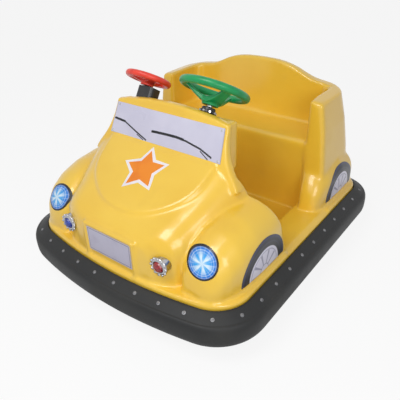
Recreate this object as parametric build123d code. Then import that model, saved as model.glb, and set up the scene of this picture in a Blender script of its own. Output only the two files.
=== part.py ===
from build123d import *
from collections import namedtuple
from math import cos, radians, sin, tan
import os

os.makedirs("parts", exist_ok=True)

# Two-seat bumper car. Millimetres; +X is the car's left, -Y its front, +Z up, the floor is Z = 0.

# Moulded body
WALL = 5.0            # glass fibre thickness
SKIRT_W = 514.0       # half width of the skirt behind the bumper
SKIRT_L = 615.0       # half length of the skirt
FRONT_R = 145.0       # corner radius of the skirt at the front
REAR_R = 112.0
FRONT_BOW = 68.0      # how far the front bows out at the middle
REAR_BOW = 24.0
WIDE = SKIRT_W / 514  # the tables below are drawn for this skirt, and follow it
LONG = SKIRT_L / 615
LEDGE = 238.0         # top of the skirt, where the body steps in
FLOOR = 157.0         # footwell floor
SKIRT_LOW = FLOOR - WALL
SILL_IN = 365.0 * WIDE        # inner face of the sills and of the side wings
SILL_OUT = SKIRT_W - 22       # outer ridge of the sills
FRONT_END = -150.0 * LONG     # rear edge of the front body at the sill
REAR_START = 228.0 * LONG     # front edge of the side wings
SEAT_TOP = 525.0
SEAT_FRONT = 235.0 * LONG
SEAT_FOOT = 268.0 * LONG      # foot of the seat riser on the floor
SEAT_BACK = 436.0 * LONG      # where the seat meets the backrest

# Bumper
BUMPER_T = 66.0       # how far the rubber stands out from the skirt
BUMPER_LOW = 96.0
BUMPER_TOP = 222.0
RUBBER = 15.0         # rubber thickness
GROOVE_IN = 14.0      # groove between the flange and the bulge
GROOVE_W = 4.0

# Frame and running gear
BAND_T = 6.0          # steel band that carries the bumper
TUBE = 40.0           # square tube
RAIL_X = 250.0 * WIDE
RAIL_TOP = FLOOR - WALL
FRONT_AXLE = -335.0 * LONG
REAR_AXLE = 375.0 * LONG
AXLE_Z = 100.0
WHEEL_X = SKIRT_W - 130
TYRE_R = 100.0
TYRE_W = 56.0
RIM_R = 62.0
PIN_R = 10.0          # stub axles and kingpins
RUN = 0.1             # running clearance on radius
GAP = 5.0             # clearance between moving faces
KING_X = WHEEL_X - 70
ARM = 80.0            # steering arm length, the same on all three arms
LINK_PIN = 6.0

# Steering columns: middle of the rim, rim circle and tube, hub, depth of the hub below the rim
COLUMN_TILT = 32.0    # lean from the vertical
SHAFT_R = 10.0
COLLAR_END = 136.0
Column = namedtuple("Column", "name x y z rim tube hub dish")
DRIVER = Column("driver", 144 * WIDE, -118 * LONG, 813, 122, 15, 32, 62)
PASSENGER = Column("passenger", -199 * WIDE, -108 * LONG, 796, 84, 13, 27, 30)
COLUMNS = (DRIVER, PASSENGER)
COLLAR_R = 27.0       # round collar of the driver's column
HOUSING = (82.0, 60.0, 15.0)  # black housing under the passenger's wheel: width, depth, corner
HOUSING_X = 20.0      # how far the housing sits inboard of its wheel

DIR = Vector(0, sin(radians(COLUMN_TILT)), cos(radians(COLUMN_TILT)))


def block(x0, x1, y0, y1, z0, z1):
    return Pos((x0 + x1) / 2, (y0 + y1) / 2, (z0 + z1) / 2) * Box(x1 - x0, y1 - y0, z1 - z0)


def rod(radius, start, end):
    run = Vector(*end) - Vector(*start)
    return extrude(Plane(origin=start, z_dir=run) * Circle(radius), run.length)


def side_prism(points, x0, x1):
    """Outline in Y and Z, extruded from x0 to x1."""
    return extrude(Plane.YZ.offset(x0) * make_face(Polyline(*points, close=True)), x1 - x0)


def front_prism(face, y0, y1):
    """Face drawn in X and Z, extruded from y0 to y1."""
    return extrude(Plane.XZ.offset(-y1) * face, y1 - y0)


def plan(half_w, half_l, front_r, rear_r, front_bow, rear_bow):
    """Plan outline with bowed ends and rounded corners."""
    ahead = front_bow - half_l
    behind_end = half_l - rear_bow
    front = ThreePointArc((-half_w, ahead), (0, -half_l), (half_w, ahead))
    rear = ThreePointArc((half_w, behind_end), (0, half_l), (-half_w, behind_end))
    left = Line((half_w, ahead), (half_w, behind_end))
    right = Line((-half_w, behind_end), (-half_w, ahead))
    face = make_face([front, left, rear, right])
    face = fillet(face.vertices().group_by(Axis.Y)[-1], rear_r)
    return fillet(face.vertices().group_by(Axis.Y)[0], front_r)


def skirt_plan(grow):
    return plan(SKIRT_W + grow, SKIRT_L + grow, FRONT_R + grow, REAR_R + grow, FRONT_BOW, REAR_BOW)


def plan_prism(grow, z0, z1):
    return extrude(Pos(0, 0, z0) * skirt_plan(grow), z1 - z0)


def mirrored(shape):
    return mirror(shape, Plane.YZ)


def along(column, s):
    """Point on a column axis, s below the middle of its rim."""
    point = Vector(column.x, column.y, column.z) - DIR * s
    return (point.X, point.Y, point.Z)


def collar_form(column):
    """Collar or housing that a column turns in."""
    plane = Plane(origin=along(column, COLLAR_END), x_dir=(1, 0, 0), z_dir=DIR)
    face = Circle(COLLAR_R) if column is DRIVER else Pos(HOUSING_X, 0) * RectangleRounded(*HOUSING)
    return extrude(plane * face, COLLAR_END - column.dish - GAP)


# Sections across the car: place, inner and outer X, top Z, top corner radii
Swell = namedtuple("Swell", "y x_in x_out top r_in r_out")

HOOD = (
    Swell(-598, -130, 130, 352, 40, 40),
    Swell(-590, -190, 190, 384, 60, 60),
    Swell(-574, -246, 246, 408, 76, 76),
    Swell(-552, -282, 282, 430, 90, 90),
    Swell(-520, -302, 302, 450, 100, 100),
    Swell(-470, -316, 316, 476, 106, 106),
    Swell(-400, -338, 338, 516, 112, 112),
    Swell(-285, -366, 366, 588, 124, 124),
    Swell(-60, -400, 400, 668, 140, 140),
)
FRONT_WING = (
    Swell(-562, 318, 396, 268, 24, 26),
    Swell(-552, 306, 431, 322, 45, 66),
    Swell(-528, 298, 458, 378, 55, 90),
    Swell(-490, 294, 477, 420, 62, 104),
    Swell(-434, 296, 490, 452, 64, 112),
    Swell(-350, 300, 496, 477, 66, 116),
    Swell(-240, 306, 498, 488, 64, 116),
    Swell(-110, 312, 498, 488, 60, 114),
)
REAR_WING = (
    Swell(160, 396, 440, 272, 12, 20),
    Swell(172, 388, 466, 322, 20, 46),
    Swell(204, 376, 480, 374, 20, 72),
    Swell(262, 368, 488, 420, 20, 90),
    Swell(390, 368, 490, 442, 20, 94),
    Swell(508, 368, 489, 414, 20, 86),
    Swell(570, 368, 472, 352, 20, 62),
    Swell(594, 340, 412, 286, 16, 24),
)


def section(row, inset, base):
    """One rounded section, drawn in X and Z."""
    x0 = row.x_in * WIDE + inset
    x1 = row.x_out * WIDE - inset
    top = row.top - inset
    ra = row.r_in * min(WIDE, 1) - inset
    rb = row.r_out * min(WIDE, 1) - inset
    k = 1 - cos(radians(45))
    edges = [
        Line((x0, base), (x1, base)),
        Line((x1, base), (x1, top - rb)),
        ThreePointArc((x1, top - rb), (x1 - rb * k, top - rb * k), (x1 - rb, top)),
        Line((x1 - rb, top), (x0 + ra, top)),
        ThreePointArc((x0 + ra, top), (x0 + ra * k, top - ra * k), (x0, top - ra)),
        Line((x0, top - ra), (x0, base)),
    ]
    return make_face(edges)


def swell(rows, inset, base, open_end=True):
    """Bulge through a table of sections. An open end runs on into the rest of the body."""
    middle = (rows[0].y + rows[-1].y) / 2
    faces = []
    for row in rows:
        shift = inset if row.y < middle else -inset
        if row is rows[-1] and open_end:
            shift = 0
        faces.append(Plane.XZ.offset(-row.y * LONG - shift) * section(row, inset, base))
    return loft(faces, ruled=True)


# Windscreen cowl, seen from the side and from the front
COWL_SIDE = ((-300, 520), (-276, 605), (-224, 725), (-212, 790), (-60, 790), (-60, 520))
COWL_HALF = ((366, 520), (342, 560), (312, 600), (293, 640), (279, 733))
COWL_MID = 762.0
PANEL_LOW = (-276.0, 605.0)
PANEL_HIGH = (-224.0, 725.0)

# Line where the front body ends, from the top of the cowl to the sill, in Y and Z
OPENING = ((-185, 800), (-185, 745), (-250, 561), (-190, 380), (FRONT_END, 262), (FRONT_END, 100))

# Raised bonnet panel, half of its plan
PANEL_LIFT = 12.0
BONNET_U = ((268, -240), (264, -320), (246, -396), (176, -474), (92, -518), (0, -530))


def cowl(inset):
    """Windscreen block: its side outline crossed with its front outline."""
    slope = inset * 1.1
    side = [(y * LONG + (slope if y < -200 else 0), z) for y, z in COWL_SIDE]
    left = [(x * WIDE - inset, z - inset * (z > 700)) for x, z in COWL_HALF]
    right = [(-x, z) for x, z in reversed(left)]
    top = ThreePointArc(left[-1], (0, COWL_MID - inset), right[0])
    foot = Line(right[-1], left[0])
    face = make_face([Spline(*left), top, Spline(*right), foot])
    return side_prism(side, -SKIRT_W, SKIRT_W) & front_prism(face, -SKIRT_L, 0)


def bonnet():
    rows = [row._replace(top=row.top + PANEL_LIFT, y=row.y - PANEL_LIFT * 0.6) for row in HOOD]
    half = [(x * WIDE, y * LONG) for x, y in BONNET_U]
    other = [(-x, y) for x, y in reversed(half)][1:]
    face = make_face([Spline(*half, *other), Line(other[-1], half[0])])
    return swell(tuple(rows), 0, LEDGE) & extrude(face, 900)


# Dash pod that covers the columns behind the cowl's lip
POD_HALF = 250.0 * WIDE
POD_BACK = -118.0 * LONG
POD_LOW = 520.0
POD_TOP = 715.0


def behind(grow):
    """Everything behind the front body's rear line and the dash pod, moved forward by grow."""
    line = [(y * LONG - grow, z) for y, z in OPENING]
    space = side_prism(line + [(SKIRT_L + 90, 100), (SKIRT_L + 90, 800)], -SKIRT_W - 200, SKIRT_W + 200)
    half = POD_HALF - grow
    return space - block(-half, half, -SKIRT_L, POD_BACK - grow, POD_LOW + grow, POD_TOP - grow)


def front_form(inset):
    base = LEDGE - 3 * inset
    skirt = plan_prism(-inset, SKIRT_LOW - inset, LEDGE - inset)
    wing = swell(FRONT_WING, inset, base)
    return skirt + swell(HOOD, inset, base) + wing + mirrored(wing) + cowl(inset)


# Level sections of the backrest and side wings: half width, half length, corner radius
Level = namedtuple("Level", "z half_w half_l corner")
TUB = (
    Level(LEDGE, 478, 594, 115),
    Level(450, 458, 586, 125),
    Level(580, 446, 550, 115),
    Level(740, 420, 500, 100),
    Level(840, 404, 472, 90),
)
TUB_BOW = 14.0


def rear_tub(inset):
    faces = []
    for row in TUB:
        low = 3 * inset if row is TUB[0] else 0
        half_w = row.half_w * WIDE - inset
        half_l = row.half_l * LONG - inset
        corner = row.corner - inset
        faces.append(Pos(0, 0, row.z - low) * plan(half_w, half_l, corner, corner, TUB_BOW, TUB_BOW))
    return loft(faces, ruled=True)


# Top edge of the backrest and side wings, half of it, in X and Z
BACK_TOP = ((0, 792), (100, 787), (190, 763), (262, 731), (330, 719), (420, 705), (520, 694))


def above(drop):
    left = [(x * WIDE, z - drop) for x, z in BACK_TOP]
    right = [(-x, z) for x, z in reversed(left)][:-1]
    curve = Spline(*right, *left)
    far = left[-1][0]
    rest = Polyline(left[-1], (far, 900), (-far, 900), right[0])
    return front_prism(make_face([*curve.edges(), *rest.edges()]), 0, SKIRT_L + 90)


def cockpit(grow):
    """Space between the side wings and in front of the backrest."""
    line = (
        (0, SKIRT_LOW - 20), (SEAT_FOOT + WALL, SKIRT_LOW - 20), (SEAT_FOOT + WALL, FLOOR),
        (SEAT_FRONT + WALL, SEAT_TOP - WALL), (SEAT_BACK, SEAT_TOP - WALL), (SEAT_BACK, SEAT_TOP),
        (SEAT_BACK + 20, 850), (0, 850),
    )
    face = make_face(Polyline(*line, close=True))
    if grow:
        face = offset(face, grow, kind=Kind.INTERSECTION)
    return extrude(Plane.YZ * face, SILL_IN + grow, both=True)


def rear_form(inset):
    base = LEDGE - 3 * inset
    tub = rear_tub(inset) - above(inset)
    skirt = plan_prism(-inset, SKIRT_LOW - inset, LEDGE - inset)
    ahead = block(-SKIRT_W - 9, SKIRT_W + 9, -SKIRT_L - 9, REAR_START + inset, 0, 900)
    wing = swell(REAR_WING, inset, base, open_end=False)
    return tub + skirt - ahead + wing + mirrored(wing)


parts = {}

# Pad for the number plate, with a rib each side and a brow above
PLATE_W = 228.0
PLATE_H = 106.0
PLATE_T = 3.0
PLATE_LOW = 268.0
PAD_Y = -598.0 * LONG
PAD_BACK = PAD_Y + 44
PAD_HALF = PLATE_W / 2 + 4
PAD_TOP = PLATE_LOW + PLATE_H + 4
RIB = 14.0
RIB_OUT = 8.0
pad = block(-PAD_HALF, PAD_HALF, PAD_Y, PAD_BACK, LEDGE, PAD_TOP)
rib = block(PAD_HALF, PAD_HALF + RIB, PAD_Y - RIB_OUT, PAD_BACK, LEDGE, PAD_TOP)
brow = block(-PAD_HALF - RIB, PAD_HALF + RIB, PAD_Y - RIB_OUT, PAD_BACK, PAD_TOP, PAD_TOP + RIB)

# Signal lamps in the nose
LAMP_X = 238.0 * WIDE
LAMP_Z = 333.0
LAMP_R = 33.5
LAMP_FACE = -588.0 * LONG
LAMP_BACK = LAMP_FACE + 34


def lamp_rod(x, radius, y0, y1):
    return rod(radius, (x, LAMP_FACE + y0, LAMP_Z), (x, LAMP_FACE + y1, LAMP_Z))


outer = front_form(0) + bonnet()
inner = front_form(WALL)
front = outer - inner + pad + rib + mirrored(rib) + brow
front = front - behind(0)
for x in (LAMP_X, -LAMP_X):
    front = front - lamp_rod(x, LAMP_R, -20, LAMP_BACK - LAMP_FACE)
for column in COLUMNS:
    front = front - collar_form(column)
parts["front_body"] = front

dash = (inner & behind(WALL + 1)) - behind(0)
dash = dash - block(-SKIRT_W, SKIRT_W, -SKIRT_L, SKIRT_L, 0, FLOOR)
for column in COLUMNS:
    dash = dash - collar_form(column)
parts["dash_panel"] = dash

rear = (rear_form(0) - cockpit(0)) - (rear_form(WALL) - cockpit(WALL))
rear = rear - block(-SILL_IN, SILL_IN, REAR_START - 50, SEAT_BACK, 0, SEAT_TOP - WALL)
parts["rear_body"] = rear

# Floor and sills, half of the sheet, in X and Z
SHEET = (
    (0, FLOOR - WALL), (SILL_IN + WALL, FLOOR - WALL), (SILL_IN + WALL, LEDGE - WALL),
    (SILL_OUT - 2, LEDGE - WALL), (SKIRT_W - WALL, BUMPER_TOP), (SKIRT_W - WALL, SKIRT_LOW),
    (SKIRT_W, SKIRT_LOW), (SKIRT_W, BUMPER_TOP + 2), (SILL_OUT, LEDGE), (SILL_IN, LEDGE),
    (SILL_IN, FLOOR), (0, FLOOR),
)
half = front_prism(make_face(Polyline(*SHEET, close=True)), FRONT_END, REAR_START)
heel = block(-SILL_IN, SILL_IN, REAR_START, SEAT_FOOT + WALL, FLOOR - WALL, FLOOR)
parts["floor_pan"] = half + mirrored(half) + heel

riser = (
    (SEAT_FOOT, FLOOR), (SEAT_FRONT, SEAT_TOP - 8), (SEAT_FRONT + 8, SEAT_TOP), (SEAT_BACK, SEAT_TOP),
    (SEAT_BACK, SEAT_TOP - WALL), (SEAT_FRONT + 10, SEAT_TOP - WALL), (SEAT_FRONT + WALL, SEAT_TOP - 10),
    (SEAT_FOOT + WALL, FLOOR),
)
parts["seat_bench"] = side_prism(riser, -SILL_IN, SILL_IN)

# Rubber bumper: a channel round the skirt, open on its inner side. How far out it is at each height
Layer = namedtuple("Layer", "z out")
PROFILE = (
    Layer(BUMPER_LOW, BUMPER_T - 26),
    Layer(BUMPER_LOW + 10, BUMPER_T - 8),
    Layer(BUMPER_LOW + 28, BUMPER_T),
    Layer(BUMPER_TOP - 66, BUMPER_T),
    Layer(BUMPER_TOP - 44, BUMPER_T - 5),
    Layer(BUMPER_TOP - 30, BUMPER_T - 16),
    Layer(BUMPER_TOP - 4, 8),
    Layer(BUMPER_TOP, 3),
)
ring = loft([Pos(0, 0, layer.z) * skirt_plan(layer.out) for layer in PROFILE], ruled=True)
hollow = plan_prism(BUMPER_T - RUBBER - 4, BUMPER_LOW + RUBBER, BUMPER_TOP - 46)
ring = ring - hollow - plan_prism(0, 0, 300)
groove_low = BUMPER_TOP - 14
groove = plan_prism(GROOVE_IN + GROOVE_W, groove_low, 300) - plan_prism(GROOVE_IN, groove_low, 300)
ring = ring - groove
front_half = block(-SKIRT_W - 90, SKIRT_W + 90, -SKIRT_L - 90, 0, 0, 300)
parts["bumper_front"] = ring & front_half
parts["bumper_rear"] = ring - front_half

# Steel frame: band behind the bumper, two rails and cross members
band = plan_prism(0, BUMPER_LOW + 2, SKIRT_LOW) - plan_prism(-BAND_T, 0, 300)
frame = block(RAIL_X - TUBE / 2, RAIL_X + TUBE / 2, -SKIRT_L, SKIRT_L, RAIL_TOP - TUBE, RAIL_TOP)
frame = frame + mirrored(frame)
for y in (FRONT_AXLE - 175, FRONT_AXLE + 165, REAR_AXLE - 135, REAR_AXLE + 135):
    frame = frame + block(-SKIRT_W, SKIRT_W, y - TUBE / 2, y + TUBE / 2, RAIL_TOP - TUBE, RAIL_TOP)
edge = plan_prism(0, SKIRT_LOW, 300) - plan_prism(-WALL - 1, 0, 300)
parts["chassis_frame"] = band + ((frame & plan_prism(-BAND_T / 2, 0, 300)) - edge)

# Front axle: a beam under the rails with a kingpin boss at each end
BEAM_TOP = RAIL_TOP - TUBE
BEAM_LOW = BEAM_TOP - TUBE
BOSS_R = 20.0
BOSS_TOP = BEAM_LOW + 60
beam = block(-KING_X, KING_X, FRONT_AXLE - TUBE / 2, FRONT_AXLE + TUBE / 2, BEAM_LOW, BEAM_TOP)
for x in (KING_X, -KING_X):
    beam = beam + rod(BOSS_R, (x, FRONT_AXLE, BEAM_LOW), (x, FRONT_AXLE, BOSS_TOP))
for x in (KING_X, -KING_X):
    beam = beam - rod(PIN_R + RUN, (x, FRONT_AXLE, 0), (x, FRONT_AXLE, 300))
parts["front_axle_beam"] = beam

# Knuckle: kingpin, yoke round the boss, stub axle and steering arm
EAR = 10.0
PLATE_IN = KING_X + BOSS_R + GAP + 1
PLATE_OUT = PLATE_IN + 8
ear_low = BEAM_LOW - GAP - EAR
ear_high = BOSS_TOP + GAP
LINK_LOW = ear_low + EAR + 1
LINK_T = 10.0
HUB_IN = PLATE_OUT + GAP
HUB_OUT = WHEEL_X + TYRE_W / 2
NUT_R = 15.0
knuckle = rod(PIN_R, (KING_X, FRONT_AXLE, ear_low), (KING_X, FRONT_AXLE, ear_high + EAR))
for z in (ear_low, ear_high):
    knuckle = knuckle + block(KING_X - 16, PLATE_OUT, FRONT_AXLE - 18, FRONT_AXLE + 18, z, z + EAR)
knuckle = knuckle + block(PLATE_IN, PLATE_OUT, FRONT_AXLE - 18, FRONT_AXLE + 18, ear_low, ear_high + EAR)
knuckle = knuckle + rod(PIN_R, (PLATE_OUT, FRONT_AXLE, AXLE_Z), (HUB_OUT + 7, FRONT_AXLE, AXLE_Z))
knuckle = knuckle + rod(NUT_R, (HUB_OUT + 1, FRONT_AXLE, AXLE_Z), (HUB_OUT + 7, FRONT_AXLE, AXLE_Z))
knuckle = knuckle + block(KING_X - 12, KING_X + 12, FRONT_AXLE - ARM, FRONT_AXLE, ear_low, ear_low + EAR)
arm_y = FRONT_AXLE - ARM
knuckle = knuckle + rod(12, (KING_X, arm_y, ear_low), (KING_X, arm_y, ear_low + EAR))
knuckle = knuckle + rod(LINK_PIN, (KING_X, arm_y, ear_low), (KING_X, arm_y, LINK_LOW + LINK_T + 3))
parts["left_knuckle"] = knuckle
parts["right_knuckle"] = mirrored(knuckle)

# Steering box on a post, drop arm below it
BOX = 84.0
DROP_Y = -395.0 * LONG
BOX_Z = DRIVER.z - (DRIVER.y - DROP_Y) / tan(radians(COLUMN_TILT))
BOX_Y = DROP_Y + 8
DROP_X = DRIVER.x
post_y = BOX_Y + BOX / 2
box_low = BOX_Z - BOX / 2
shaft_end = (DRIVER.z - BOX_Z) / cos(radians(COLUMN_TILT)) - 6
gearbox = block(DROP_X - BOX / 2, DROP_X + BOX / 2, BOX_Y - BOX / 2, post_y, box_low, BOX_Z + BOX / 2)
gearbox = chamfer(gearbox.edges(), 8)
gearbox = gearbox - rod(SHAFT_R + RUN, along(DRIVER, 0), along(DRIVER, shaft_end))
gearbox = gearbox - rod(PIN_R + RUN, (DROP_X, DROP_Y, 0), (DROP_X, DROP_Y, box_low + 24))
parts["steering_box"] = gearbox
post_top = BOX_Z + BOX / 2 - 14
parts["steering_post"] = block(DROP_X - 32, DROP_X + 32, post_y, post_y + 10, BEAM_TOP, post_top)

DROP_LOW = LINK_LOW + LINK_T + GAP
drop_end = DROP_Y - ARM
drop = rod(PIN_R, (DROP_X, DROP_Y, DROP_LOW), (DROP_X, DROP_Y, box_low + 22))
drop = drop + block(DROP_X - 12, DROP_X + 12, drop_end, DROP_Y, DROP_LOW, DROP_LOW + EAR)
drop = drop + rod(16, (DROP_X, DROP_Y, DROP_LOW), (DROP_X, DROP_Y, DROP_LOW + EAR))
drop = drop + rod(12, (DROP_X, drop_end, DROP_LOW), (DROP_X, drop_end, DROP_LOW + EAR))
drop = drop + rod(LINK_PIN, (DROP_X, drop_end, LINK_LOW - 3), (DROP_X, drop_end, DROP_LOW + EAR))
parts["drop_arm"] = drop

link_y = FRONT_AXLE - ARM
eyes = ((KING_X, link_y), (-KING_X, link_y), (DROP_X, drop_end))
tie = block(-KING_X, KING_X, link_y - 11, link_y + 11, LINK_LOW, LINK_LOW + LINK_T)
tie = tie + block(DROP_X - 11, DROP_X + 11, drop_end, link_y, LINK_LOW, LINK_LOW + LINK_T)
for x, y in eyes:
    tie = tie + rod(14, (x, y, LINK_LOW), (x, y, LINK_LOW + LINK_T))
for x, y in eyes:
    tie = tie - rod(LINK_PIN + RUN, (x, y, 0), (x, y, 300))
parts["tie_rod"] = tie

# Steering wheels, columns and collars
for column in COLUMNS:
    plane = Plane(origin=along(column, 0), x_dir=(1, 0, 0), z_dir=DIR)
    wheel = Pos(0, 0, 15 - column.dish) * Cylinder(column.hub, 30)
    for turn in (90, 210, 330):
        end = (column.rim * cos(radians(turn)), column.rim * sin(radians(turn)), -2)
        start = (20 * cos(radians(turn)), 20 * sin(radians(turn)), 18 - column.dish)
        wheel = wheel + rod(column.tube * 0.75, start, end)
    tube = RegularPolygon(column.tube, 12)
    wheel = wheel + revolve(Plane.XZ * Pos(column.rim, 0) * tube, Axis.Z)
    parts[f"{column.name}_steering_wheel"] = plane * wheel
    low = shaft_end - 2 if column is DRIVER else COLLAR_END - 10
    depth = COLLAR_END + 1 if column is DRIVER else COLLAR_END - 8
    parts[f"{column.name}_column"] = rod(SHAFT_R, along(column, column.dish), along(column, low))
    bore = rod(SHAFT_R + RUN, along(column, 0), along(column, depth))
    parts[f"{column.name}_collar"] = collar_form(column) - bore

# Road wheels
BEVEL = 12.0
half_tyre = TYRE_W / 2
tyre_line = (
    (WHEEL_X - half_tyre, RIM_R), (WHEEL_X - half_tyre, TYRE_R - BEVEL),
    (WHEEL_X - half_tyre + BEVEL, TYRE_R), (WHEEL_X + half_tyre - BEVEL, TYRE_R),
    (WHEEL_X + half_tyre, TYRE_R - BEVEL), (WHEEL_X + half_tyre, RIM_R),
)
tyre = revolve(make_face(Polyline(*tyre_line, close=True)), Axis.X)
rim = Rot(0, 90, 0) * (Cylinder(RIM_R, 46) - Cylinder(RIM_R - 8, 60) + Cylinder(RIM_R - 4, 8))
rim = Pos(WHEEL_X, 0, 0) * rim
rim = rim + rod(22, (HUB_IN, 0, 0), (HUB_OUT, 0, 0)) - rod(PIN_R + RUN, (0, 0, 0), (600, 0, 0))
for end, y in (("front", FRONT_AXLE), ("rear", REAR_AXLE)):
    place = Pos(0, y, AXLE_Z)
    parts[f"{end}_left_tyre"] = place * tyre
    parts[f"{end}_right_tyre"] = place * mirrored(tyre)
    parts[f"{end}_left_rim"] = place * rim
    parts[f"{end}_right_rim"] = place * mirrored(rim)


def axle_rod(radius, x0, x1):
    return rod(radius, (x0, REAR_AXLE, AXLE_Z), (x1, REAR_AXLE, AXLE_Z))


# Rear axle, drive unit, battery
axle = axle_rod(PIN_R, -HUB_OUT - 7, HUB_OUT + 7)
for side in (1, -1):
    axle = axle + axle_rod(NUT_R, side * (HUB_OUT + 1), side * (HUB_OUT + 7))
    axle = axle + axle_rod(NUT_R, side * (HUB_IN - 7), side * (HUB_IN - 1))
    hanger = side * RAIL_X
    axle = axle + block(hanger - 12, hanger + 12, REAR_AXLE - 24, REAR_AXLE + 24, AXLE_Z - 20, BEAM_TOP)
parts["rear_axle"] = axle
motor = rod(44, (60, REAR_AXLE, AXLE_Z), (60, REAR_AXLE + 111, AXLE_Z))
parts["drive_unit"] = axle_rod(52, 10, 110) + motor - axle_rod(PIN_R, 0, 200)
TRAY_Y = SEAT_FOOT + 17
TRAY_T = 4.0
parts["battery_tray"] = block(-RAIL_X - 20, RAIL_X + 20, TRAY_Y, TRAY_Y + 155, RAIL_TOP, RAIL_TOP + TRAY_T)
case = block(16, RAIL_X - 34, TRAY_Y + 7, TRAY_Y + 147, RAIL_TOP + TRAY_T, RAIL_TOP + 210)
parts["batteries"] = case + mirrored(case)
PEDAL_Y = FRONT_END + 20
pedal = (
    (PEDAL_Y, FLOOR), (PEDAL_Y + 80, FLOOR), (PEDAL_Y + 80, FLOOR + 8),
    (PEDAL_Y + 8, FLOOR + 44), (PEDAL_Y, FLOOR + 40),
)
parts["foot_pedal"] = side_prism(pedal, DROP_X + 6, DROP_X + 86)

# Windscreen sheet, number plate, lamps and prints
lean = Vector(0, (PANEL_HIGH[0] - PANEL_LOW[0]) * LONG, PANEL_HIGH[1] - PANEL_LOW[1])
sheet_low = (0, PANEL_LOW[0] * LONG, PANEL_LOW[1])
sheet_plane = Plane(origin=sheet_low, x_dir=(1, 0, 0), z_dir=(0, -lean.Z, lean.Y))
SHEET_LOW = 278.0 * WIDE
SHEET_HIGH = 266.0 * WIDE
corners = (
    (-SHEET_LOW, 2), (SHEET_LOW, 2), (SHEET_HIGH, lean.length - 2), (-SHEET_HIGH, lean.length - 2),
)
parts["windscreen"] = extrude(sheet_plane * make_face(Polyline(*corners, close=True)), 2)
plate_top = PLATE_LOW + PLATE_H
parts["number_plate"] = block(-PLATE_W / 2, PLATE_W / 2, PAD_Y - PLATE_T, PAD_Y, PLATE_LOW, plate_top)
LENS_R = LAMP_R - 6
for name, x in (("left", LAMP_X), ("right", -LAMP_X)):
    lens = lamp_rod(x, LENS_R, 0, 8)
    parts[f"{name}_lamp_bezel"] = lamp_rod(x, LAMP_R, 0, LAMP_BACK - LAMP_FACE) - lens
    dome = Pos(x, LAMP_FACE + 26, LAMP_Z) * Sphere(38) & lamp_rod(x, LENS_R, -30, 0)
    parts[f"{name}_lamp_lens"] = lens + dome

PRINT_T = 1.5
EYE_R = 57.5
EYE_AT = Vector(376 * WIDE, -520 * LONG, 371)
EYE_DIR = Vector(0.45, -0.85, 0.25)
grown = swell(FRONT_WING, -PRINT_T, LEDGE) - outer
eye_start = EYE_AT - EYE_DIR * 90
eye_end = EYE_AT + EYE_DIR * 90
eye = grown & rod(EYE_R, (eye_start.X, eye_start.Y, eye_start.Z), (eye_end.X, eye_end.Y, eye_end.Z))
parts["left_headlight"] = eye
parts["right_headlight"] = mirrored(eye)
PRINT_R = 138.0
PRINT_LOW = 256.0
rear_grown = swell(REAR_WING, -PRINT_T, LEDGE, open_end=False) - rear_form(0)
window = block(SKIRT_W - 70, SKIRT_W + 90, -SKIRT_L, SKIRT_L, PRINT_LOW, 600)
prints = []
for skin, y in ((grown, -310 * LONG), (rear_grown, 382 * LONG)):
    disc = rod(PRINT_R, (SKIRT_W - 70, y, PRINT_LOW), (SKIRT_W + 90, y, PRINT_LOW))
    prints.append(skin & disc & window)
parts["left_wheel_prints"] = prints[0] + prints[1]
parts["right_wheel_prints"] = mirrored(prints[0] + prints[1])

for name, shape in parts.items():
    print(name, len(shape.solids()), round(shape.volume / 1000), shape.is_valid)
    export_step(shape, f"parts/{name}.step")
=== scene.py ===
# %% [markdown]
# # A two-seat bumper car
# The imported solids of the car are the frame of this lesson. Every piece made here is in metres, in
# the place the solids give it: the front of the car points along -Y, its left side along +X, and the
# ground is Z = 0.

# %% Load the frame
import math

import bmesh
import bpy
from mathutils import Matrix, Vector


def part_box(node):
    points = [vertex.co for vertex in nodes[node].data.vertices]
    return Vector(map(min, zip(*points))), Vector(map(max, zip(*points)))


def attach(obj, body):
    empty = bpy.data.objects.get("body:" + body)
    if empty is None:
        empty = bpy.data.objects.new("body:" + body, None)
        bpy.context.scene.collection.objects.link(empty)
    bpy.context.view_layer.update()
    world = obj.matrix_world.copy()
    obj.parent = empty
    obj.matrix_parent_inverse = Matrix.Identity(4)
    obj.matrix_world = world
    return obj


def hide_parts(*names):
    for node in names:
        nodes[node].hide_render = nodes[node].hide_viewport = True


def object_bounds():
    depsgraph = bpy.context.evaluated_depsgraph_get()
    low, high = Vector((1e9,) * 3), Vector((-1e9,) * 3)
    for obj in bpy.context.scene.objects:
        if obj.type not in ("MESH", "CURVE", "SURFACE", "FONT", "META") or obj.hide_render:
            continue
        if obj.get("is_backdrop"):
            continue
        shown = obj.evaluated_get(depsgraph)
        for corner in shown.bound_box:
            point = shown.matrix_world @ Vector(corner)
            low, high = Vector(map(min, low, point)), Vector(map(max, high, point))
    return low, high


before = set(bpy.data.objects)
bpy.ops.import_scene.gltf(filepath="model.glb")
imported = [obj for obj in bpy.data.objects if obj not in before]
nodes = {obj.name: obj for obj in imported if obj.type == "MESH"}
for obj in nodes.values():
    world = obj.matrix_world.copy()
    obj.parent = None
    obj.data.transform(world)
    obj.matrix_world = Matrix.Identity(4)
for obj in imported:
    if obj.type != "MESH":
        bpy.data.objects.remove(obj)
scene = bpy.context.scene
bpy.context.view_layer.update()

# %% [markdown]
# ## Wiring finishes by arithmetic
# A finish is a tree of nodes, and most of its nodes are sums. Wrapping a socket in a small class
# lets a sum be written the way it is thought: `1 - mask` adds a Math node by itself. Every other
# kind of node comes from one method, which takes the node's type, its settings and its inputs.

# %% A small class for sockets


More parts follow.
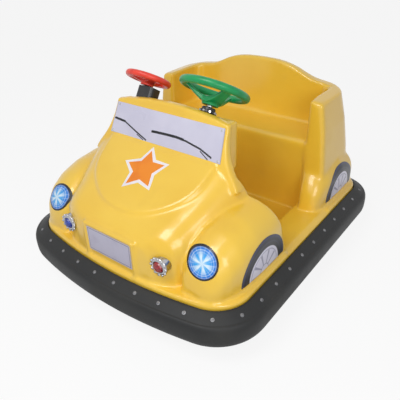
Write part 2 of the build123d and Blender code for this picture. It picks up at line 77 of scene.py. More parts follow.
class Wire:
    """One output socket. Arithmetic on it adds Math nodes to the same tree."""

    def __init__(self, finish, socket):
        self.finish = finish
        self.socket = socket

    def sum(self, operation, *others, first=None):
        """A Math node on this wire and others. With a first value given, this wire comes second."""
        inputs = [self, *others] if first is None else [first, self]
        return self.finish.node("ShaderNodeMath", {"operation": operation}, *inputs)

    def __add__(self, other):
        return self.sum("ADD", other)

    def __sub__(self, other):
        return self.sum("SUBTRACT", other)

    def __mul__(self, other):
        return self.sum("MULTIPLY", other)

    def __truediv__(self, other):
        return self.sum("DIVIDE", other)

    def __radd__(self, other):
        return self.sum("ADD", first=other)

    def __rsub__(self, other):
        return self.sum("SUBTRACT", first=other)

    def between(self, low, high):
        """0 below low, 1 above high, a smooth step from one to the other."""
        settings = {"interpolation_type": "SMOOTHSTEP"}
        return self.finish.node("ShaderNodeMapRange", settings, self, low, high)


class Finish:
    """A material whose nodes are added one by one."""

    def __init__(self, name, **constants):
        self.material = bpy.data.materials.new(name)
        self.material.use_nodes = True
        self.tree = self.material.node_tree
        self.shader = self.tree.nodes["Principled BSDF"]
        self.feed(**constants)
        self.place = self.node("ShaderNodeTexCoord", out="Object")

    def give(self, socket, value):
        """Links a wire to a socket, or sets the socket to a plain value."""
        if isinstance(value, Wire):
            self.tree.links.new(value.socket, socket)
        else:
            socket.default_value = value

    def feed(self, **sockets):
        """Gives wires or plain values to the shader's own sockets."""
        for key, value in sockets.items():
            self.give(self.shader.inputs[key.replace("_", " ")], value)

    def node(self, kind, settings=None, *inputs, out=0, **named):
        """Adds a node. Its inputs come in their order or by name."""
        made = self.tree.nodes.new(kind)
        for key, value in (settings or {}).items():
            setattr(made, key, value)
        for key, value in [*enumerate(inputs), *named.items()]:
            self.give(made.inputs[key], value)
        return Wire(self, made.outputs[out])

    def noise(self, scale, detail):
        return self.node("ShaderNodeTexNoise", None, Vector=self.place, Scale=scale, Detail=detail)

    def mix(self, mask, a, b):
        """Colour a where the mask is 0, colour b where it is 1."""
        made = self.tree.nodes.new("ShaderNodeMix")
        made.data_type = "RGBA"
        for key, value in (("Factor_Float", mask), ("A_Color", a), ("B_Color", b)):
            self.give(next(s for s in made.inputs if s.identifier == key), value)
        return Wire(self, next(s for s in made.outputs if s.identifier == "Result_Color"))

    def bump(self, height, strength, distance):
        return self.node("ShaderNodeBump", None, Height=height, Strength=strength, Distance=distance)

    def axes(self, centre, turn=(0, 0, 0)):
        """X, Y and Z measured from a centre, in a frame turned by three angles."""
        settings = {"vector_type": "TEXTURE"}
        place = self.node("ShaderNodeMapping", settings, self.place, tuple(centre), tuple(turn))
        return [self.node("ShaderNodeSeparateXYZ", None, place, out=axis) for axis in "XYZ"]


def srgb(red, green, blue):
    """A colour as it is read off a screen, 0 to 255, in the linear numbers that shaders use."""
    def linear(v):
        v = v / 255
        return v / 12.92 if v <= 0.04045 else ((v + 0.055) / 1.055) ** 2.4
    return (linear(red), linear(green), linear(blue), 1.0)


print("wires and finishes ready")

# %% [markdown]
# ## Places that finishes and pieces share
# A printed sheet is a shape and a picture, and both are laid about the same point. So these places are
# named once, before the first finish is made. Sizes are half sizes where the name says so.

# %% Places and directions
HEADLIGHT_R = 0.0575
HEADLIGHT_AT = (0.376, -0.520, 0.371)
HEADLIGHT_WAY = (0.45, -0.85, 0.25)
WHEEL_PRINT_R, WHEEL_PRINT_Z = 0.138, 0.256
WHEEL_PRINT_FRONT, WHEEL_PRINT_REAR = -0.310, 0.382
SCREEN_FOOT = Vector((0, -0.276, 0.605))
SCREEN_HEAD = Vector((0, -0.224, 0.725))
SCREEN_HALF_W, SCREEN_TAPER = 0.279, 0.1
PLATE_Z, PLATE_HALF_W, PLATE_HALF_H = 0.321, 0.114, 0.053
LAMP_AT = (0.238, -0.588, 0.333)


def on_side(side, place):
    """A place or direction on the car's left (1), or its mirror image on the right (-1)."""
    x, y, z = place
    return (x * side, y, z)


def facing_frame(facing):
    """Axes whose Z looks along a direction and whose Y is as near up as it goes."""
    z = Vector(facing).normalized()
    x = Vector((0, 0, 1)).cross(z)
    x = x.normalized() if x.length > 0.001 else Vector((1, 0, 0))
    return Matrix((x, z.cross(x), z)).transposed()


print("windscreen", round((SCREEN_HEAD - SCREEN_FOOT).length, 3), "m high")

# %% [markdown]
# ## Finishes of the car
# Most finishes mix near colours by noise, because no real surface is of one colour. All patterns are
# laid on Object coordinates, so they stay put when the car is turned. The body comes first: glass
# fibre with a yellow gelcoat. A clear coat gives its gloss, and dust takes it away again in patches.

# %% Yellow gelcoat
gelcoat = Finish("yellow_gelcoat", Specular_IOR_Level=0.5, Coat_Roughness=0.12)
cloud = gelcoat.noise(3.5, 4.0)
fine = gelcoat.noise(60.0, 2.0)
tone = gelcoat.mix(cloud.between(0.35, 0.7), srgb(238, 193, 58), srgb(243, 201, 68))
dust = gelcoat.noise(9.0, 6.0).between(0.55, 0.8) * 0.35
gelcoat.feed(
    Base_Color=gelcoat.mix(dust, tone, srgb(224, 181, 72)),
    Roughness=0.26 + fine * 0.08 + dust * 0.25,
    Coat_Weight=0.45 - dust * 0.6,
    Normal=gelcoat.bump(gelcoat.noise(14.0, 2.0) + fine * 0.08, 0.12, 0.004),
)

# %% [markdown]
# The bumper is black rubber that has gone grey where it is knocked. One noise lightens, dulls and
# roughens the same patches, so they read as one kind of wear.

# %% Black rubber
rubber = Finish("black_rubber", Specular_IOR_Level=0.35)
scuff = rubber.noise(5.0, 8.0).between(0.45, 0.75)
grain = rubber.noise(240.0, 2.0)
rubber.feed(
    Base_Color=rubber.mix(scuff * 0.6, srgb(34, 35, 36), srgb(62, 62, 60)),
    Roughness=0.5 + scuff * 0.2 + grain * 0.1,
    Normal=rubber.bump(grain * 0.5 + scuff * 0.4, 0.25, 0.002),
)

# %% [markdown]
# Steering wheels and collars are moulded plastic in three colours. They differ in nothing else, so one
# function makes all three.

# %% Coloured plastic


def plastic(name, colour, dark):
    """A moulded plastic with worn patches of a second colour."""
    finish = Finish(name, Specular_IOR_Level=0.5)
    wear = finish.noise(30.0, 4.0)
    finish.feed(
        Base_Color=finish.mix(wear.between(0.4, 0.75), colour, dark),
        Roughness=0.28 + wear * 0.16,
        Normal=finish.bump(finish.noise(180.0, 2.0), 0.08, 0.001),
    )
    return finish


green_plastic = plastic("green_plastic", srgb(6, 150, 84), srgb(4, 134, 74))
red_plastic = plastic("red_plastic", srgb(236, 70, 52), srgb(222, 58, 44))
black_plastic = plastic("black_plastic", srgb(30, 30, 32), srgb(42, 42, 44))

# %% [markdown]
# Chrome, zinc and cast alloy are bare metal and differ only in colour and polish, so they share a
# function. The frame under the car is painted, and rust has come through in places.

# %% Metals


def metal(name, colour, rough, worn):
    """A bare metal with spots of a duller colour."""
    finish = Finish(name, Metallic=1.0)
    spots = finish.noise(45.0, 5.0)
    finish.feed(
        Base_Color=finish.mix(spots.between(0.45, 0.8), colour, worn),
        Roughness=rough + spots * 0.15,
    )
    return finish


chrome = metal("chrome", (0.46, 0.46, 0.48, 1.0), 0.06, (0.30, 0.30, 0.32, 1.0))
dull_steel = metal("dull_rivets", (0.20, 0.20, 0.21, 1.0), 0.40, (0.10, 0.10, 0.11, 1.0))
steel = metal("zinc_steel", (0.55, 0.56, 0.58, 1.0), 0.28, (0.42, 0.43, 0.44, 1.0))

painted = Finish("painted_steel", Specular_IOR_Level=0.4)
rust = painted.noise(12.0, 7.0).between(0.6, 0.75)
painted.feed(
    Base_Color=painted.mix(rust * 0.7, srgb(52, 54, 58), srgb(96, 62, 42)),
    Roughness=0.45 + rust * 0.3,
    Normal=painted.bump(painted.noise(90.0, 3.0), 0.15, 0.002),
)

# %% [markdown]
# The wheel rims are cast alloy and the tyres dirty rubber. The inside of the moulding shows its glass
# mat. The edges of Voronoi cells look like strands, which a noise would not.

# %% Alloy, laminate and tyres
alloy = metal("cast_alloy", (0.60, 0.60, 0.62, 1.0), 0.38, (0.44, 0.44, 0.45, 1.0))

laminate = Finish("glass_laminate", Specular_IOR_Level=0.4)
strand = laminate.node(
    "ShaderNodeTexVoronoi", {"feature": "DISTANCE_TO_EDGE"}, Vector=laminate.place, Scale=55.0)
resin = laminate.noise(7.0, 5.0)
laminate.feed(
    Base_Color=laminate.mix(resin.between(0.35, 0.7), srgb(186, 148, 66), srgb(150, 122, 66)),
    Roughness=0.55 + resin * 0.2,
    Normal=laminate.bump(strand.between(0.0, 0.12), 0.4, 0.002),
)

tyre_rubber = Finish("tyre_rubber", Specular_IOR_Level=0.3)
dirt = tyre_rubber.noise(26.0, 6.0).between(0.4, 0.75)
tyre_rubber.feed(
    Base_Color=tyre_rubber.mix(dirt * 0.7, srgb(30, 30, 31), srgb(74, 70, 64)),
    Roughness=0.65 + dirt * 0.2,
    Normal=tyre_rubber.bump(tyre_rubber.noise(300.0, 2.0), 0.25, 0.001),
)

# %% [markdown]
# The lamps' lenses are tinted plastic with small pressed cells. Clear plastic would need many bounces
# of light, and at this size a glossy colour over Voronoi cells looks the same.

# %% Lenses


def lens(name, colour, deep):
    """A tinted lens with small pressed cells."""
    finish = Finish(name, Specular_IOR_Level=0.7, Roughness=0.06)
    cells = finish.node("ShaderNodeTexVoronoi", None, Vector=finish.place, Scale=160.0)
    finish.feed(
        Base_Color=finish.mix(cells.between(0.1, 0.6), colour, deep),
        Normal=finish.bump(cells, 0.35, 0.002),
    )
    return finish


red_lens = lens("red_lens", srgb(190, 24, 34), srgb(128, 8, 18))
blue_lens = lens("blue_lens", srgb(40, 86, 205), srgb(14, 42, 140))

# %% [markdown]
# Both are flat sheets with a line along their edge. The line is worked out from the distance to the
# edge, so it needs no picture and stays sharp.

# %% Windscreen sheet and number plate
sheet = Finish("windscreen_sheet", Specular_IOR_Level=0.5)
haze = sheet.noise(6.0, 3.0)
x, _, z = sheet.axes((0, 0, SCREEN_FOOT.z))
edge = (SCREEN_HALF_W - x.sum("ABSOLUTE") - z * SCREEN_TAPER).sum("MINIMUM", z - 0.0005)
rim = 1 - edge.between(0.0035, 0.0045)
paper = sheet.mix(haze.between(0.35, 0.7), srgb(200, 199, 220), srgb(210, 209, 228))
sheet.feed(
    Base_Color=sheet.mix(rim * 0.45, paper, srgb(150, 148, 166)),
    Roughness=0.24 + haze * 0.1,
)

plate = Finish("blank_plate", Specular_IOR_Level=0.5)
grime = plate.noise(18.0, 5.0).between(0.45, 0.8)
x, _, z = plate.axes((0, 0, PLATE_Z))
edge = (PLATE_HALF_W - x.sum("ABSOLUTE")).sum("MINIMUM", PLATE_HALF_H - z.sum("ABSOLUTE"))
line = edge.between(0.0045, 0.0051) * (1 - edge.between(0.0068, 0.0074))
face = plate.mix(grime * 0.5, srgb(186, 183, 203), srgb(164, 160, 180))
plate.feed(
    Base_Color=plate.mix(line * 0.8, face, srgb(70, 66, 84)),
    Roughness=0.3 + grime * 0.2,
)

# %% [markdown]
# Star and wipers are cut from plain vinyl, which fades in patches.

# %% Plain vinyl for stickers


def vinyl(name, colour, faded):
    """A sticker of one colour, faded in patches."""
    finish = Finish(name, Specular_IOR_Level=0.5)
    age = finish.noise(14.0, 4.0)
    finish.feed(Base_Color=finish.mix(age.between(0.4, 0.75), colour, faded), Roughness=0.26 + age * 0.14)
    return finish


white_vinyl = vinyl("white_vinyl", srgb(240, 236, 240), srgb(230, 226, 232))
orange_vinyl = vinyl("orange_vinyl", srgb(240, 140, 28), srgb(230, 122, 24))
black_vinyl = vinyl("black_vinyl", srgb(26, 27, 32), srgb(40, 41, 46))

# %% [markdown]
# The headlights are pictures of lamps. All that is in them goes by the distance from the middle and
# the angle round it, so sums on these two draw the rays, rings and rim.

# %% Printed headlights


def headlight_finish(side):
    """Blue glass with white rays, rings and a dark rim, for the car's left (1) or right (-1)."""
    finish = Finish(f"printed_headlight_{'left' if side > 0 else 'right'}", Specular_IOR_Level=0.5)
    turn = facing_frame(on_side(side, HEADLIGHT_WAY)).to_euler()
    x, y, _ = finish.axes(on_side(side, HEADLIGHT_AT), turn)
    radius = (x * x + y * y).sum("SQRT") / HEADLIGHT_R
    angle = y.sum("ARCTAN2", x)
    rays = (angle * 3 + radius * 0.7 + 0.5).sum("COSINE").sum("ABSOLUTE").between(0.45, 1.0)
    rays = rays * (1 - radius.between(0.30, 0.82)) * 0.9
    fine_rays = (angle * 17 + 1.0).sum("COSINE").between(0.3, 1.0) * radius.between(0.15, 0.4) * 0.18
    rings = (radius * 46).sum("SINE").between(0.35, 1.0) * radius.between(0.45, 0.75) * 0.45
    glow = (1 - radius.between(0.02, 0.38)) * 0.75
    white = (rays + fine_rays + rings).sum("MAXIMUM", glow).sum("MINIMUM", 1.0)
    blue = finish.mix(radius.between(0.2, 0.95), srgb(70, 176, 242), srgb(20, 112, 214))
    lit = finish.mix(white, blue, srgb(226, 243, 252))
    shade = finish.mix((radius - 0.80).between(0.0, 0.10) * 0.6, lit, srgb(16, 60, 130))
    finish.feed(
        Base_Color=finish.mix(radius.between(0.885, 0.905), shade, srgb(20, 22, 28)),
        Roughness=0.22 + finish.noise(40.0, 2.0) * 0.08,
    )
    return finish


# %% [markdown]
# The wheels on the body's sides are pictures too, half a wheel each, with spokes, hoop and tyre. One
# finish does for all four: it measures from the middle of the front wheel or of the rear one.

# %% Printed wheels
wheel_print = Finish("printed_wheel", Specular_IOR_Level=0.5)
_, y, z = wheel_print.axes((0, 0, WHEEL_PRINT_Z))
rear = y.sum("GREATER_THAN", 0.0)
along = y - WHEEL_PRINT_FRONT - rear * (WHEEL_PRINT_REAR - WHEEL_PRINT_FRONT)
radius = (along * along + z * z).sum("SQRT") / WHEEL_PRINT_R
angle = z.sum("ARCTAN2", along)
spokes = (angle * 5).sum("COSINE").sum("ABSOLUTE").between(0.90, 0.97)
spokes = spokes * radius.between(0.16, 0.22) * (1 - radius.between(0.56, 0.60))
hoop = radius.between(0.585, 0.6) * (1 - radius.between(0.615, 0.63))
hub_line = radius.between(0.17, 0.18) * (1 - radius.between(0.20, 0.21))
ink = (spokes * 0.7 + hoop * 0.55 + hub_line * 0.6).sum("MINIMUM", 1.0)
alloy_print = wheel_print.mix(ink, srgb(222, 220, 238), srgb(120, 120, 150))
groove = radius.between(0.80, 0.81) * (1 - radius.between(0.83, 0.84))
sheen = radius.between(0.88, 0.97) * 0.45 + groove * 0.25
tyre_print = wheel_print.mix(sheen, srgb(24, 26, 36), srgb(70, 78, 120))
wheel_print.feed(
    Base_Color=wheel_print.mix(radius.between(0.685, 0.70), alloy_print, tyre_print),
    Roughness=0.26 + wheel_print.noise(30.0, 3.0) * 0.1,
)
print("finishes:", ", ".join(m.name for m in bpy.data.materials))

# %% [markdown]
# ## Working by operators
# Every piece is made the way it would be at the keyboard: add a primitive, go into edit mode, pick
# faces by where they are, extrude, spin or inset them, then apply a modifier. These helpers only put
# the steps that always come together under one name.

# %% Selecting, editing and settling
CAD_DOUBLES = 0.00002


def only(*objects):
    """Select just these objects in object mode, the last one active."""
    if bpy.context.object and bpy.context.object.mode != "OBJECT":
        bpy.ops.object.mode_set(mode="OBJECT")
    bpy.ops.object.select_all(action="DESELECT")
    for each in objects:
        each.select_set(True)
    bpy.context.view_layer.objects.active = objects[-1]


def edit(obj, kind="FACE", action="DESELECT"):
    """Edit mode on one object, with nothing in its mesh selected, or all of it."""
    only(obj)
    bpy.ops.object.mode_set(mode="EDIT")
    bpy.ops.mesh.select_mode(type=kind)
    bpy.ops.mesh.select_all(action=action)


def added(operator, **settings):
    """Run an operator that adds an object, and hand that object back."""
    bpy.ops.object.select_all(action="DESELECT")
    operator(**settings)
    return bpy.context.object


def extrude(by):
    """In edit mode, extrude what is selected and move it."""
    bpy.ops.mesh.extrude_region_move(TRANSFORM_OT_translate={"value": by})


def pick_faces(obj, test):
    """In edit mode, select the faces whose middle and normal pass a test."""
    mesh = bmesh.from_edit_mesh(obj.data)
    for face in mesh.faces:
        face.select_set(test(face.calc_center_median(), face.normal))
    bmesh.update_edit_mesh(obj.data)


def modifier(obj, kind, **settings):
    """Add a modifier, set it and apply it."""
    only(obj)
    made = obj.modifiers.new(kind.title(), kind)
    for key, value in settings.items():
        setattr(made, key, value)
    bpy.ops.object.modifier_apply(modifier=made.name)


def applied(obj):
    """Move an object's place, turn and scale into its mesh."""
    only(obj)
    bpy.ops.object.transform_apply(location=True, rotation=True, scale=True)
    return obj


def placed(obj, matrix):
    """Give an object a place and a turn, and move both into its mesh."""
    obj.matrix_world = matrix
    bpy.context.view_layer.update()
    return applied(obj)


def joined(*objects):
    """One object out of several, the first one kept."""
    only(*objects[1:], objects[0])
    bpy.ops.object.join()
    return objects[0]


def twin(obj, name):
    """A copy of a piece with its own mesh."""
    made = bpy.data.objects.new(name, obj.data.copy())
    scene.collection.objects.link(made)
    return made


def copy_of(name, *sources):
    """One new object from copies of CAD solids, loose triangles merged, marks of sharp edges cleared."""
    copies = [twin(nodes[source], name) for source in sources]
    made = joined(*copies)
    made.data.materials.clear()
    edit(made, "VERT", "SELECT")
    bpy.ops.mesh.remove_doubles(threshold=CAD_DOUBLES)
    bpy.ops.mesh.mark_sharp(clear=True)
    only(made)
    bpy.ops.mesh.customdata_custom_splitnormals_clear()
    return made


def settle(obj, name, body, finish, slot, *stands_for):
    """Name a finished piece, give it its finish and let it ride on a body."""
    applied(obj)
    obj.name = name
    obj.data.name = name
    obj.data.materials.clear()
    obj.data.materials.append(finish.material)
    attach(obj, body)
    if stands_for:
        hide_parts(*stands_for)
    print(name, len(obj.data.polygons), "faces")
    return obj


# %% Drawing, turning and aiming
DOUBLES = 0.00001


def trace(name, points):
    """A line of edges, drawn by extruding one vertex from point to point. It stays in edit mode."""
    line = added(bpy.ops.mesh.primitive_plane_add, size=0.001)
    line.name = name
    edit(line, "VERT", "SELECT")
    bpy.ops.mesh.merge(type="CENTER")
    bpy.ops.transform.translate(value=points[0])
    for start, end in zip(points, points[1:]):
        extrude(Vector(end) - Vector(start))
    bpy.ops.mesh.select_all(action="SELECT")
    return line


def clean(obj):
    """Merge doubles and turn the faces outwards."""
    edit(obj, "VERT", "SELECT")
    bpy.ops.mesh.remove_doubles(threshold=DOUBLES)
    bpy.ops.mesh.normals_make_consistent(inside=False)
    only(obj)


def lathe(name, profile, steps):
    """A turned piece about Z: its half section in radius and height, spun all the way round."""
    piece = trace(name, [(radius, 0, height) for radius, height in profile])
    bpy.ops.mesh.spin(steps=steps, angle=2 * math.pi, center=(0, 0, 0), axis=(0, 0, 1))
    clean(piece)
    return piece


def aim(obj, at, facing):
    """Put an object's origin at a point, its Z along a direction, its Y as near up as it goes."""
    return placed(obj, Matrix.Translation(at) @ facing_frame(facing).to_4x4())


def mirrored(obj, name):
    """The same piece on the other side of the car."""
    made = twin(obj, name)
    made.scale.x = -1
    applied(made)
    edit(made, "VERT", "SELECT")
    bpy.ops.mesh.normals_make_consistent(inside=False)
    only(made)
    return made


def smooth(obj, angle=35):
    """Shade a piece smooth, except over edges sharper than an angle in degrees."""
    only(obj)
    bpy.ops.object.shade_smooth_by_angle(angle=math.radians(angle))
    return obj


print("helpers ready")

# %% [markdown]
# ## The line round the skirt
# Bumper, rivets and the plate that closes the body from below all follow one line: two bowed ends,
# four rounded corners and two straight sides. Each bowed end is an arc of a large circle, and each
# corner an arc that touches both that circle and the side. Half of the line is enough, because the
# car is the same on both sides.

# %% Circles of the ends and corners
HALF_W, HALF_L = 0.514, 0.615
QUARTER = math.pi / 2


class BowedEnd:
    """One end of the skirt: its large circle, and the small one in its corner."""

    def __init__(self, bow, corner):
        self.corner = corner
        self.radius = (HALF_W ** 2 + bow ** 2) / (2 * bow)
        self.middle = HALF_L - self.radius
        self.side = HALF_W - corner
        self.turn = math.asin(self.side / (self.radius - corner))
        self.corner_y = self.middle + (self.radius - corner) * math.cos(self.turn)


NOSE = BowedEnd(0.068, 0.145)
TAIL = BowedEnd(0.024, 0.112)
STRAIGHT_STEPS = 8


def carry_round():
    """Carry the edges selected in edit mode from the middle of the nose to the middle of the tail."""
    about = {"axis": (0, 0, -1)}
    bpy.ops.mesh.spin(steps=12, angle=NOSE.turn, center=(0, -NOSE.middle, 0), **about)
    bpy.ops.mesh.spin(steps=18, angle=QUARTER - NOSE.turn, center=(NOSE.side, -NOSE.corner_y, 0), **about)
    for _ in range(STRAIGHT_STEPS):
        extrude((0, (NOSE.corner_y + TAIL.corner_y) / STRAIGHT_STEPS, 0))
    bpy.ops.mesh.spin(steps=16, angle=QUARTER - TAIL.turn, center=(TAIL.side, TAIL.corner_y, 0), **about)
    bpy.ops.mesh.spin(steps=8, angle=TAIL.turn, center=(0, TAIL.middle, 0), **about)


ARC_STEPS = 40


def stations(out, spacing):
    """Points along half of that line, moved out from it, and the way each one faces."""
    arcs = (
        ((0, -NOSE.middle), NOSE.radius, -QUARTER, NOSE.turn),
        ((NOSE.side, -NOSE.corner_y), NOSE.corner, NOSE.turn - QUARTER, QUARTER - NOSE.turn),
        ((TAIL.side, TAIL.corner_y), TAIL.corner, 0, QUARTER - TAIL.turn),
        ((0, TAIL.middle), TAIL.radius, QUARTER - TAIL.turn, TAIL.turn),
    )
    found = []
    left, last = spacing / 2, None
    for (x, y), radius, start, turn in arcs:
        for step in range(ARC_STEPS + 1):
            angle = start + turn * step / ARC_STEPS
            facing = Vector((math.cos(angle), math.sin(angle), 0))
            point = Vector((x, y, 0)) + facing * (radius + out)
            run = (point - last).length if last else 0
            while run >= left and run > 0:
                last = last.lerp(point, left / run)
                found.append((last.copy(), facing))
                run = (point - last).length
                left = spacing
            left -= run
            last = point
    return found


print("nose circle", round(NOSE.radius, 3), "m, tail circle", round(TAIL.radius, 3), "m")

# %% [markdown]
# ## The moulded body as one skin
# The real body is one glass-fibre moulding, so its seat, sills, mudguards and bonnet run into each
# other with soft edges. The solids meet at sharp lines instead. Joining copies of them and remeshing
# the result into small even squares makes one closed skin, and smoothing those squares rounds every
# edge by about the same amount, as a mould maker's filler does. Before that, plugs close the holes:
# the remesh takes a closed hollow for solid, so only the outside is left as skin. Two more plugs fill
# the corners of the backrest. Where the mould has wide radii the skin is smoothed further, and at last
# its bottom is opened again.

# %% Plugs for the holes
MOULDING = ("front_body", "dash_panel", "floor_pan", "seat_bench", "rear_body")
SEAM = 0.0002
BELLY_INSET, BELLY_LIFT, BELLY_THICKNESS = 0.003, 0.001, 0.008
LAMP_PLUG_R, LAMP_PLUG_DEPTH = 0.040, 0.006
LAMP_PLUG_AT = (LAMP_AT[0], -0.568, LAMP_AT[2])
LAMP_PLUG_WAY = (0.39, -0.92, 0)
COLUMN_MARGIN, COLUMN_FRONT, COLUMN_LOW = 0.008, -0.214, 0.690
COLUMN_STEPS = ((-0.122, 0.7135), (-0.188, 0.746))


def block(low, high):
    """A box between two corners."""
    low, high = Vector(low), Vector(high)
    middle = (low + high) / 2
    return applied(added(bpy.ops.mesh.primitive_cube_add, size=1, location=middle, scale=high - low))


floor_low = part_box("floor_pan")[0].z
belly = trace("belly", [(0, -HALF_L + BELLY_INSET, floor_low + BELLY_LIFT)])
carry_round()
modifier(belly, "MIRROR", use_clip=True, merge_threshold=SEAM)
edit(belly, "VERT", "SELECT")
bpy.ops.mesh.remove_doubles(threshold=SEAM)
bpy.ops.mesh.edge_face_add()
extrude((0, 0, BELLY_THICKNESS))
clean(belly)
plugs = [belly]
for side in (1, -1):
    stopper = added(
        bpy.ops.mesh.primitive_cylinder_add, vertices=40, radius=LAMP_PLUG_R, depth=LAMP_PLUG_DEPTH)
    plugs.append(aim(stopper, on_side(side, LAMP_PLUG_AT), on_side(side, LAMP_PLUG_WAY)))
for seat in ("driver", "passenger"):
    low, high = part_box(f"{seat}_collar")
    for back, top in COLUMN_STEPS:
        near = (low.x - COLUMN_MARGIN, COLUMN_FRONT, COLUMN_LOW)
        plugs.append(block(near, (high.x + COLUMN_MARGIN, back, top)))
print(len(plugs), "plugs")

# %% Rounded corners between backrest and side wings
COVE_R, COVE_OVERLAP = 0.045, 0.005
COVE_X, COVE_Y, COVE_Z = 0.365, 0.436, 0.515
COVE_RISE = (0, 0.012, 0.192)
COVE_STEPS = 6
section = [(COVE_X + COVE_OVERLAP, COVE_Y + COVE_OVERLAP), (COVE_X + COVE_OVERLAP, COVE_Y - COVE_R)]
for step in range(COVE_STEPS + 1):
    angle = QUARTER * step / COVE_STEPS
    x = COVE_X - COVE_R + COVE_R * math.cos(angle)
    section.append((x, COVE_Y - COVE_R + COVE_R * math.sin(angle)))
section.append((COVE_X - COVE_R, COVE_Y + COVE_OVERLAP))
cove = trace("cove", [(x, y, COVE_Z) for x, y in section])
bpy.ops.mesh.edge_face_add()
extrude(COVE_RISE)
clean(cove)
plugs += [cove, mirrored(cove, "cove_other")]

# %% Join, remesh and round
SKIN_SQUARE = 0.0045
skin = joined(copy_of("body_skin", *MOULDING), *plugs)
skin.data.remesh_voxel_size = SKIN_SQUARE
skin.data.use_remesh_preserve_volume = False
skin.data.use_remesh_fix_poles = False
only(skin)
bpy.ops.object.voxel_remesh()
print("skin of", len(skin.data.polygons), "squares")
modifier(skin, "SMOOTH", factor=0.5, iterations=20)

# %% Softer forms on bonnet, mudguards, wings and seat
BONNET_SHARE = 0.12


def ramp(value, start, end):
    """0 at the start, 1 at the end, straight in between."""
    return min(1.0, max(0.0, (value - start) / (end - start)))


def softness(x, y, z):
    """How much more a point of the skin is rounded, where the mould has wide radii. Each ramp runs
    from where the rounding starts to where it is full."""
    bonnet = ramp(z, 0.36, 0.42) * ramp(y, -0.60, -0.56) * ramp(y, -0.19, -0.23)
    wing = ramp(abs(x), 0.34, 0.37) * ramp(z, 0.25, 0.29) * ramp(y, -0.02, 0.02) * ramp(y, 0.30, 0.22)
    seat = ramp(abs(x), 0.38, 0.36) * ramp(z, 0.42, 0.47) * ramp(z, 0.66, 0.60) * ramp(y, -0.02, 0.02)
    return max(bonnet * BONNET_SHARE, wing, seat)


group = skin.vertex_groups.new(name="soft")
for vertex in skin.data.vertices:
    weight = softness(*vertex.co)
    if weight > 0:
        group.add([vertex.index], weight, "REPLACE")
modifier(skin, "SMOOTH", factor=0.5, iterations=90, vertex_group=group.name)

# %% Open the bottom and thin the skin
UNDERSIDE = floor_low + 0.004
DOWNWARD = -0.3
SKIN_TRIANGLES = 165000
edit(skin)
pick_faces(skin, lambda at, normal: at.z < UNDERSIDE and normal.z < DOWNWARD)
bpy.ops.mesh.delete(type="FACE")
only(skin)
modifier(skin, "DECIMATE", ratio=min(1.0, SKIN_TRIANGLES / (2 * len(skin.data.polygons))))
bpy.ops.object.shade_smooth(keep_sharp_edges=False)
settle(skin, "body_skin", "root", gelcoat, "yellow_gelcoat", *MOULDING)

# %% [markdown]
# ## The rough inside of the moulding
# From below one looks into the moulding, where the resin and the glass mat show. A thinned copy of
# the skin, moved in by the thickness of the laminate and turned inside out, is that inner face.

# %% Inner face
LAMINATE_THICKNESS, LINER_SHARE = 0.0035, 0.3
liner = twin(skin, "body_liner")
modifier(liner, "DECIMATE", ratio=LINER_SHARE)
modifier(liner, "DISPLACE", strength=-LAMINATE_THICKNESS, mid_level=0.0)
edit(liner, "FACE", "SELECT")
bpy.ops.mesh.flip_normals()
only(liner)
settle(liner, "body_liner", "root", laminate, "yellow_gelcoat")

# %% [markdown]
# ## The rubber bumper
# The bumper is one extruded rubber section bent round the car. Its top slopes down from the body, a
# shallow crease follows, then the fat outer bulge that takes the knocks. The section is drawn vertex
# by vertex at the middle of the nose, and carried round half the car by spins and straight extrudes.
# A Mirror modifier makes the other half.

# %% Bumper section, carried round
SECTION = (
    (0.0015, 0.207), (0.0015, 0.2185), (0.005, 0.2218), (0.0095, 0.2212), (0.014, 0.219),
    (0.030, 0.2085), (0.0445, 0.1985), (0.0475, 0.1958), (0.0505, 0.1950), (0.0535, 0.1945),
    (0.0575, 0.1920), (0.0615, 0.1865), (0.0642, 0.1790), (0.0656, 0.1690), (0.0660, 0.1560),
    (0.0658, 0.1400), (0.0648, 0.1260), (0.0622, 0.1140), (0.0570, 0.1045), (0.0490, 0.0985),
    (0.0390, 0.0962), (0.0300, 0.0972), (0.0240, 0.1010), (0.0215, 0.1080), (0.0215, 0.1850),
    (0.0120, 0.2000), (0.0015, 0.207),
)
bumper = trace("bumper", [(0, -HALF_L - out, height) for out, height in SECTION])
carry_round()
clean(bumper)
modifier(bumper, "MIRROR", use_clip=True, merge_threshold=SEAM)
clean(bumper)
smooth(bumper, 40)
settle(bumper, "bumper_rubber", "root", rubber, "black_rubber", "bumper_front", "bumper_rear")

# %% [markdown]
# ## Rivets along the bumper
# About every hand's width a rivet with a washer holds the rubber to the steel band behind it. One is
# turned on the lathe, then copied along the line of the skirt, leaning with the slope of the rubber.

# %% One rivet, many copies
RIVET = ((0.0, 0.0036), (0.0022, 0.0033), (0.0038, 0.0024), (0.0043, 0.0012), (0.0045, 0.0009),
         (0.0066, 0.0008), (0.0071, 0.0003), (0.0071, -0.002))
RIVET_OUT, RIVET_Z, RIVET_SPACING = 0.0315, 0.2075, 0.104
SLOPE = Vector((22, 33)).normalized()  # out and up, square to the rubber's top
rivet = lathe("rivet", RIVET, 14)
copies = []
for point, facing in stations(RIVET_OUT, RIVET_SPACING):
    lean = facing * SLOPE.x + Vector((0, 0, SLOPE.y))
    copies.append(aim(twin(rivet, "rivet_copy"), point + Vector((0, 0, RIVET_Z)), lean))
half = joined(*copies)
rivets = joined(half, mirrored(half, "rivets_other"))
only(rivet)
bpy.ops.object.delete()
smooth(rivets, 40)
settle(rivets, "bumper_rivets", "root", dull_steel, "bright_steel")

# %% [markdown]
# ## Steering wheels
# Each wheel is one plastic moulding: a fat round rim, three flat spokes that dip towards the middle,
# and a dished hub. A torus, a turned hub and three extruded spokes are overlapped, remeshed into one
# skin and smoothed, so the spokes flow into the rim as they do when the plastic is cast.

